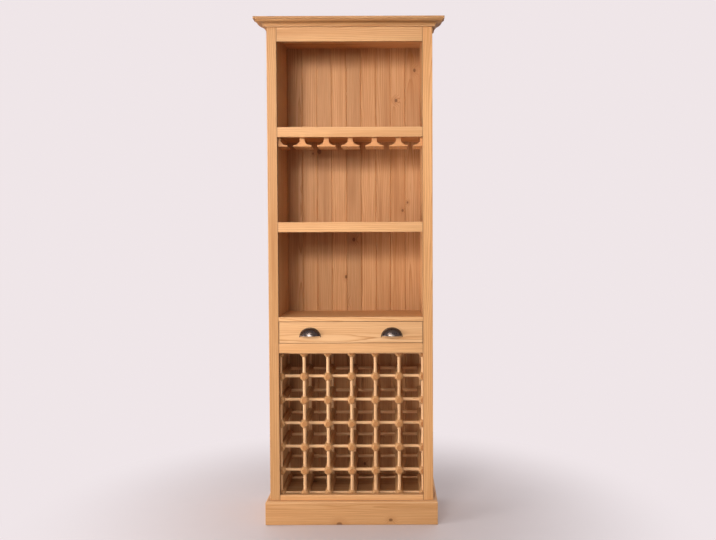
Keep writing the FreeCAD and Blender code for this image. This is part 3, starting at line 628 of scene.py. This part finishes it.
def arch_plate(mesh, half_width, height):
    """The flat arch on the drawer front, with rounded shoulders."""
    rings = []
    for turn in even_steps(0, math.pi, PULL_STEPS):
        rings.append([
            Vector((
                -(half_width - PULL_RIM_WIDTH * inset) * math.cos(turn),
                -PULL_RIM_THICKNESS * depth,
                (height - PULL_RIM_WIDTH * inset) * math.sin(turn)))
            for inset, depth in ARCH_SECTION])
    sweep(mesh, rings)


def new_piece(name, mesh, material):
    """An object of a mesh that is done with."""
    data = bpy.data.meshes.new(name)
    mesh.to_mesh(data)
    mesh.free()
    data.materials.append(material)
    piece = bpy.data.objects.new(name, data)
    bpy.context.scene.collection.objects.link(piece)
    return piece


def cup_pull(node, material):
    """A cast cup pull that stands for a node, built on the node's own box."""
    low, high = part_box(node)
    middle = (low.x + high.x) / 2
    half_width = (high.x - low.x) / 2
    height = high.z - low.z
    rim_inset = PULL_RIM_WIDTH * PULL_RIM_SHOWN
    radii = Vector((half_width - rim_inset, high.y - low.y, height - rim_inset))
    mesh = bmesh.new()
    rolled_lip(mesh, dome_shell(mesh, radii))
    arch_plate(mesh, half_width, height)
    bmesh.ops.translate(mesh, verts=mesh.verts, vec=(middle, high.y, low.z))
    bmesh.ops.recalc_face_normals(mesh, faces=mesh.faces)
    piece = new_piece(f"{node}_cast", mesh, material)
    cast = piece.modifiers.new("Cast in one", "REMESH")
    cast.mode = "VOXEL"
    cast.voxel_size = PULL_VOXEL
    cast.use_smooth_shade = True
    soften = piece.modifiers.new("Softened", "SMOOTH")
    soften.factor = PULL_SOFTENING
    soften.iterations = PULL_SOFTENINGS
    piece["lip_middle"] = [middle, high.y, low.z + PULL_LIP_RISE]
    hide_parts(node)
    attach(piece, "drawer")


iron = dark_iron("dark_iron")
for node in ("left_cup_pull", "right_cup_pull"):
    cup_pull(node, iron)

# The floor and the room; fades are ranges of distance on the floor and of direction in the room
ROOM_COLOUR = (0.865, 0.79, 0.81, 1)
FLOOR_COLOUR = (0.69, 0.615, 0.62, 1)
FLOOR_SPECKLE = (0.62, 0.55, 0.55, 1)
FLOOR_BOUNCE = (0.2, 0.18, 0.175, 1)
FLOOR_REACH = 6.0
FLOOR_SIDES = 64
FLOOR_FADE = (0.45, 1.45)
FLOOR_DROP = 0.0005
FLOOR_CLOUD = (9.0, 5.0)
FLOOR_MOTTLE = ((0.3, 0.7), (0.0, 0.06))
FLOOR_ROUGHNESS = ((0.3, 0.7), (0.55, 0.65))
FLOOR_RELIEF = 0.0001
SKY_COLOUR = (1.0, 0.985, 0.99, 1)
ROOM_LIGHT = 0.36
LEFT_LIGHT = 0.25
LEFT_FADE = (-0.2, -0.9)
BACK_LIGHT = 0.45
BACK_FADE = (-0.15, 0.3)

# Soft lamps: metres, the beam's spread in degrees, and watts
LAMPS = {
    "key": dict(
        place=(-0.75, -2.8, 2.16), target=(0, 0, 1.55), size=(0.9, 0.4), spread=80, watts=10.6,
        colour=(1.0, 0.98, 0.96)),
    "front": dict(
        place=(-0.9, -3.0, 1.8), target=(0, 0, 1.85), size=(0.9, 0.4), spread=60, watts=3.0,
        colour=(1.0, 0.97, 0.96)),
    "fill": dict(
        place=(-2.4, -1.4, 0.45), target=(0, -0.14, 0.35), size=(1.2, 1.0), spread=110, watts=29,
        colour=(1.0, 0.98, 0.97)),
    "low": dict(
        place=(-0.4, -2.6, 0.5), target=(0, -0.14, 0.3), size=(1.6, 0.8), spread=110, watts=1.0,
        colour=(1.0, 0.98, 0.97)),
    "right": dict(
        place=(2.2, -1.5, 0.2), target=(-0.1, -0.14, 0.15), size=(1.0, 0.4), spread=40, watts=1.1,
        colour=(1.0, 0.98, 0.97)),
}

# The photograph's own viewpoint: metres, degrees, and pixels of its frame
CAMERA_PLACE = Vector((0.16778, -3.18015, 1.14004))
CAMERA_PITCH = 1.865
CAMERA_ROLL = -0.2085
FOCAL_PIXELS = 749.52
PHOTO_WIDTH = 716
AXIS_PIXEL = 391.85
SENSOR_WIDTH = 36.0


def sees_room(graph):
    """1 for the rays that show the room itself, 0 for the rays that only carry its light."""
    paths = graph.tree.nodes.new("ShaderNodeLightPath").outputs
    seen = graph.math("MAXIMUM", paths["Is Glossy Ray"], paths["Is Transmission Ray"])
    return graph.math("MAXIMUM", seen, paths["Is Camera Ray"])


def floor_finish():
    """A finish that looks pale, throws little light back and fades into the room's colour."""
    graph = Graph(bpy.data.materials.new("pale_floor"))
    place = graph.coordinates("Object")
    cloud = graph.cloud(place, *FLOOR_CLOUD)
    pale = graph.mix(graph.fit(cloud, *FLOOR_MOTTLE), FLOOR_COLOUR, FLOOR_SPECKLE)
    seen = sees_room(graph)
    colour = graph.mix(seen, FLOOR_BOUNCE, pale)
    surface = graph.finish(colour, graph.fit(cloud, *FLOOR_ROUGHNESS), cloud, FLOOR_RELIEF)
    fade = graph.fit(graph.length(place), FLOOR_FADE, UNIT, "SMOOTHSTEP")
    faded = graph.math("MULTIPLY", fade, seen)
    glow = graph.add("ShaderNodeEmission", (("Color", ROOM_COLOUR),))
    shaders = ((0, faded), (1, graph.shader.outputs[0]), (2, glow))
    ending = graph.tree.nodes["Material Output"].inputs["Surface"]
    graph.link(ending, graph.add("ShaderNodeMixShader", shaders))
    return surface


def floor():
    """A plain round floor, a hair below the cabinet."""
    mesh = bmesh.new()
    bmesh.ops.create_circle(mesh, cap_ends=True, segments=FLOOR_SIDES, radius=FLOOR_REACH)
    piece = new_piece("floor", mesh, floor_finish())
    piece.location.z = -FLOOR_DROP


def world():
    """Soft light from all round, and the pale room that is seen behind the cabinet."""
    graph = Graph(bpy.data.worlds.new("room"))
    bpy.context.scene.world = graph.owner
    across, deep, _ = graph.split(graph.coordinates("Generated"))
    left = graph.fit(across, LEFT_FADE, (ROOM_LIGHT, ROOM_LIGHT + LEFT_LIGHT), "SMOOTHSTEP")
    back = graph.fit(deep, BACK_FADE, (0.0, BACK_LIGHT), "SMOOTHSTEP")
    strength = graph.math("ADD", left, back)
    light = graph.add("ShaderNodeBackground", (("Color", SKY_COLOUR), ("Strength", strength)))
    seen = graph.add("ShaderNodeBackground", (("Color", ROOM_COLOUR), ("Strength", 1.0)))
    both = graph.add("ShaderNodeMixShader", ((0, sees_room(graph)), (1, light), (2, seen)))
    graph.link(graph.tree.nodes["World Output"].inputs["Surface"], both)


def lamp(name, place, target, size, spread, watts, colour):
    """A soft lamp of a width and a height, aimed at a point."""
    data = bpy.data.lights.new(name, "AREA")
    data.shape = "RECTANGLE"
    data.size, data.size_y = size
    data.spread = math.radians(spread)
    data.energy = watts
    data.color = colour
    item = bpy.data.objects.new(name, data)
    item.location = place
    item.rotation_euler = (Vector(target) - Vector(place)).to_track_quat("-Z", "Y").to_euler()
    bpy.context.scene.collection.objects.link(item)


def camera():
    """A camera at the photograph's own viewpoint."""
    data = bpy.data.cameras.new("camera")
    data.sensor_width = SENSOR_WIDTH
    data.lens = SENSOR_WIDTH * FOCAL_PIXELS / PHOTO_WIDTH
    data.shift_x = (PHOTO_WIDTH / 2 - AXIS_PIXEL) / PHOTO_WIDTH
    item = bpy.data.objects.new("camera", data)
    item.matrix_world = (
        Matrix.Translation(CAMERA_PLACE)
        @ Matrix.Rotation(math.radians(90 - CAMERA_PITCH), 4, "X")
        @ Matrix.Rotation(math.radians(CAMERA_ROLL), 4, "Z"))
    bpy.context.scene.collection.objects.link(item)
    bpy.context.scene.camera = item


floor()
world()
for name, settings in LAMPS.items():
    lamp(name, **settings)
camera()
bpy.context.scene.view_settings.view_transform = "Standard"
